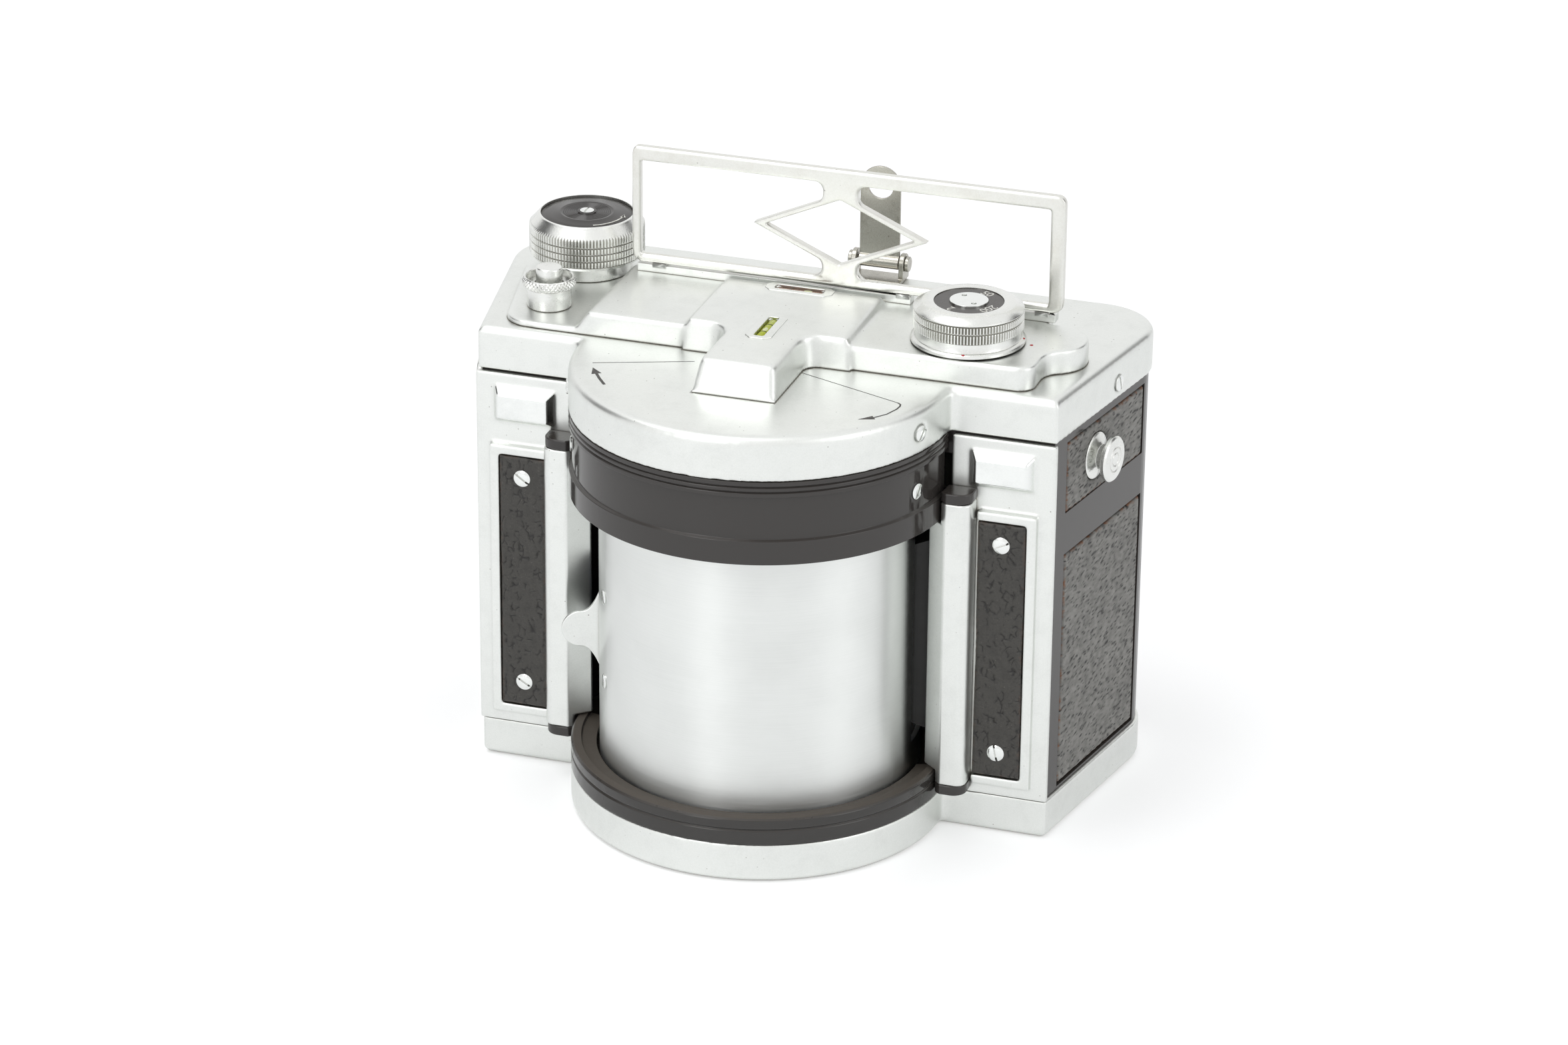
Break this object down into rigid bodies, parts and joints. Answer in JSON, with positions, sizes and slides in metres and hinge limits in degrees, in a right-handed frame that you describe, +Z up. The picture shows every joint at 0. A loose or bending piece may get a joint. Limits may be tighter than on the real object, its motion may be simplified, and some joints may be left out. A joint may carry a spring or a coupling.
{
  "type": "panoramic roll-film camera",
  "caption": "Swing-lens panoramic roll-film camera with a turning lens drum, winding knob, speed dial, fold-down frame finder, rear sight and hinged back.",
  "frame": {"origin": "the mouth of the tripod socket: where the axis of the lens drum meets the plane that the camera stands on", "axes": "+X to the right of someone looking at the front, -Y out of the front, +Z up along the drum axis"},
  "size_m": [0.1662, 0.113, 0.152],
  "materials": {
    "satin_aluminium": "satin, fine specks",
    "aluminium_disc": "turned",
    "nickel": "satin nickel plate",
    "steel": "bright drawn",
    "brass": "turned",
    "black_enamel": "gloss enamel, worn edges",
    "leather": "pebble grain",
    "black_plastic": "matte",
    "red_celluloid": "clear red",
    "vial_glass": "yellow-green spirit",
    "lens_glass": "polished"
  },
  "bodies": {
    "camera_body": {"body_casting": "black_enamel", "bottom_plate": "satin_aluminium", "tripod_bush": "brass", "top_cover": "satin_aluminium", "top_deck": "satin_aluminium", "wing_panel_left": "satin_aluminium", "wing_panel_right": "satin_aluminium", "front_leather_left": "leather", "front_leather_right": "leather", "panel_screws": "nickel", "light_rail_left": "satin_aluminium", "light_rail_right": "satin_aluminium", "rail_ears": "black_enamel", "upper_bezel": "black_enamel", "lower_bezel": "black_enamel", "cover_screws": "nickel", "side_leather_left": "leather", "side_leather_right": "leather", "strap_stud_left": "nickel", "strap_stud_right": "nickel", "level_vials": "vial_glass", "release_bush": "nickel", "release_ring": "nickel", "release_spring": "steel", "wind_collar": "satin_aluminium", "spool_pins": "steel", "finder_rail": "satin_aluminium", "sight_bracket": "nickel", "sight_pin": "nickel", "hinge_pin": "steel", "film_gate": "steel", "drum_bearings": "brass"},
    "lens_drum": {"drum_shell": "satin_aluminium", "drum_top_disc": "aluminium_disc", "drum_bottom_disc": "aluminium_disc", "lens_board": "black_enamel", "lens_barrel": "black_enamel", "lens_glass": "lens_glass", "slit_funnel": "black_enamel", "finger_tab": "nickel"},
    "mainspring": {"spring_barrel": "brass"},
    "governor_wheel": {"governor": "brass"},
    "winder": {"wind_knob": "satin_aluminium", "wind_disc": "black_enamel", "wind_shaft": "steel", "take_up_spool": "black_plastic"},
    "supply": {"supply_spool": "black_plastic"},
    "roller_left": {"film_roller_left": "steel"},
    "roller_right": {"film_roller_right": "steel"},
    "release": {"release_button": "nickel"},
    "dial": {"speed_dial": "satin_aluminium", "dial_ring": "black_enamel", "dial_shaft": "steel"},
    "finder": {"finder_frame": "nickel"},
    "sight": {"rear_sight": "nickel"},
    "door": {"back_door": "black_enamel", "door_leather": "leather", "pressure_plate": "steel", "red_window": "red_celluloid"},
    "latch": {"door_latch": "nickel"}
  },
  "joints": [
    {"name": "drum_swing", "type": "hinge", "parent": "camera_body", "child": "lens_drum", "pos_m": [0, 0, 0.05], "axis": [0, 0, 1], "range_deg": [0, 150]},
    {"name": "mainspring_turn", "type": "hinge", "parent": "camera_body", "child": "mainspring", "pos_m": [0, 0.0301, 0.105], "axis": [0, 0, 1], "range_deg": [-225, 0]},
    {"name": "governor_turn", "type": "hinge", "parent": "camera_body", "child": "governor_wheel", "pos_m": [0.02226, 0.00392, 0.105], "axis": [0, 0, 1], "range_deg": [-600, 0]},
    {"name": "wind_turn", "type": "hinge", "parent": "camera_body", "child": "winder", "pos_m": [-0.0592, 0.0415, 0.12], "axis": [0, 0, 1], "continuous": true},
    {"name": "supply_turn", "type": "hinge", "parent": "camera_body", "child": "supply", "pos_m": [0.0592, 0.0415, 0.05], "axis": [0, 0, 1], "continuous": true},
    {"name": "roller_left_turn", "type": "hinge", "parent": "camera_body", "child": "roller_left", "pos_m": [-0.05162, 0.01287, 0.05], "axis": [0, 0, 1], "continuous": true},
    {"name": "roller_right_turn", "type": "hinge", "parent": "camera_body", "child": "roller_right", "pos_m": [0.05162, 0.01287, 0.05], "axis": [0, 0, 1], "continuous": true},
    {"name": "release_press", "type": "slide", "parent": "camera_body", "child": "release", "axis": [0, 0, -1], "range_m": [0, 0.0025], "stiffness_N_per_m": 400, "deforming": ["release_spring"]},
    {"name": "dial_turn", "type": "hinge", "parent": "camera_body", "child": "dial", "pos_m": [0.0454, 0.0159, 0.125], "axis": [0, 0, 1], "range_deg": [-90, 90]},
    {"name": "finder_fold", "type": "hinge", "parent": "camera_body", "child": "finder", "pos_m": [0, 0.033, 0.1234], "axis": [-1, 0, 0], "range_deg": [0, 90]},
    {"name": "sight_fold", "type": "hinge", "parent": "camera_body", "child": "sight", "pos_m": [0, 0.0628, 0.118], "axis": [1, 0, 0], "range_deg": [0, 90]},
    {"name": "door_open", "type": "hinge", "parent": "camera_body", "child": "door", "pos_m": [-0.08233, 0.052, 0.05], "axis": [0, 0, 1], "range_deg": [0, 110]},
    {"name": "latch_slide", "type": "slide", "parent": "door", "child": "latch", "axis": [0, 0, 1], "range_m": [0, 0.0045]}
  ],
  "couplings": [
    {"joint": "mainspring_turn", "follows": "drum_swing", "ratio": -1.5},
    {"joint": "governor_turn", "follows": "drum_swing", "ratio": -4}
  ]
}
